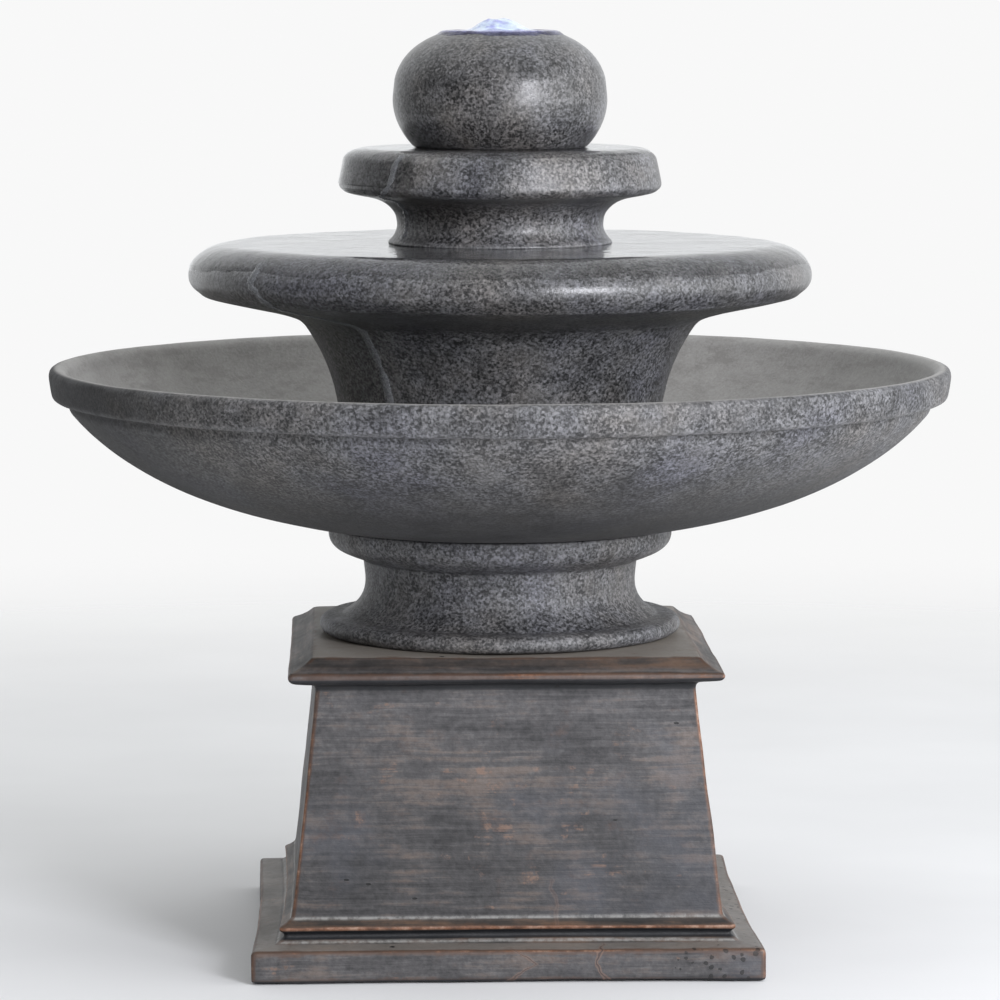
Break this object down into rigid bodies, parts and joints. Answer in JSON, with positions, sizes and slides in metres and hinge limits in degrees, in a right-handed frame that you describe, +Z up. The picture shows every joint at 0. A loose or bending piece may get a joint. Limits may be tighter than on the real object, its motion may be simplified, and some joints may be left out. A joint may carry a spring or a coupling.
{
  "type": "tiered water fountain",
  "caption": "Garden fountain: square plinth, footed shallow basin, bull-nosed middle tier, capped upper tier and a bubbling ball lit from inside, with a submersible pump in its column.",
  "frame": {"origin": "centre of the fountain's base, on the ground under the plinth's pads", "axes": "+Z up along the fountain's axis; +X right and +Y back, with the front of the plinth facing -Y and its cord notch at +Y"},
  "size_m": [0.64, 0.64, 0.647],
  "materials": {
    "granite_resin": "satin",
    "plinth_paint": "matte",
    "black_rubber": "matte",
    "black_plastic": "satin",
    "grey_plastic": "satin",
    "rotor_ferrite": "satin",
    "shaft_steel": "polished",
    "filter_foam": "matte",
    "clear_vinyl": "gloss",
    "clear_lens": "gloss",
    "board_white": "satin",
    "diode_blue": "gloss",
    "lead_sheath": "satin",
    "water": "polished"
  },
  "bodies": {
    "plinth": {"plinth": "plinth_paint", "plinth_pad_1": "black_rubber", "plinth_pad_2": "black_rubber", "plinth_pad_3": "black_rubber", "plinth_pad_4": "black_rubber"},
    "basin": {"basin_foot": "granite_resin", "basin": "granite_resin", "cord_grommet": "black_rubber", "pump_housing": "black_plastic", "pump_cord_gland": "black_rubber", "pump_cover": "black_plastic", "shaft_bush_front": "black_rubber", "shaft_bush_rear": "black_rubber", "rotor_shaft": "shaft_steel", "outlet_barb": "black_plastic", "suction_cup_1": "black_rubber", "suction_cup_2": "black_rubber", "suction_cup_3": "black_rubber", "suction_cup_4": "black_rubber"},
    "drain_plug": {"drain_plug": "black_rubber"},
    "rotor": {"impeller": "grey_plastic", "rotor_magnet": "rotor_ferrite"},
    "strainer": {"pump_strainer": "black_plastic", "foam_filter": "filter_foam"},
    "flow_knob": {"flow_knob": "grey_plastic"},
    "middle_tier": {"middle_tier": "granite_resin"},
    "upper_tier": {"upper_tier": "granite_resin"},
    "ball": {"ball": "granite_resin", "light_tray": "grey_plastic", "light_board": "board_white", "light_diode_1": "diode_blue", "light_diode_2": "diode_blue", "light_diode_3": "diode_blue", "light_diode_4": "diode_blue", "light_diode_5": "diode_blue", "light_diode_6": "diode_blue", "light_lens": "clear_lens", "nozzle": "grey_plastic", "riser_hose": "clear_vinyl", "light_lead": "lead_sheath", "light_plug": "black_plastic", "lead_tie_1": "black_plastic", "lead_tie_2": "black_plastic", "lead_tie_3": "black_plastic"}
  },
  "joints": [
    {"name": "basin_lift", "type": "slide", "parent": "plinth", "child": "basin", "axis": [0, 0, 1], "range_m": [0, 0.1]},
    {"name": "drain_plug_pull", "type": "slide", "parent": "basin", "child": "drain_plug", "axis": [0, 0, 1], "range_m": [0, 0.04]},
    {"name": "impeller_spin", "type": "hinge", "parent": "basin", "child": "rotor", "pos_m": [0, 0, 0.3466], "axis": [0, 1, 0], "continuous": true},
    {"name": "strainer_pull", "type": "slide", "parent": "basin", "child": "strainer", "axis": [0, -1, 0], "range_m": [0, 0.03]},
    {"name": "flow_knob_turn", "type": "hinge", "parent": "strainer", "child": "flow_knob", "pos_m": [0, -0.04, 0.3466], "axis": [0, -1, 0], "range_deg": [0, 90]},
    {"name": "middle_tier_lift", "type": "slide", "parent": "basin", "child": "middle_tier", "axis": [0, 0, 1], "range_m": [0, 0.15]},
    {"name": "upper_tier_lift", "type": "slide", "parent": "middle_tier", "child": "upper_tier", "axis": [0, 0, 1], "range_m": [0, 0.15]},
    {"name": "ball_lift", "type": "slide", "parent": "upper_tier", "child": "ball", "axis": [0, 0, 1], "range_m": [0, 0.22]}
  ]
}
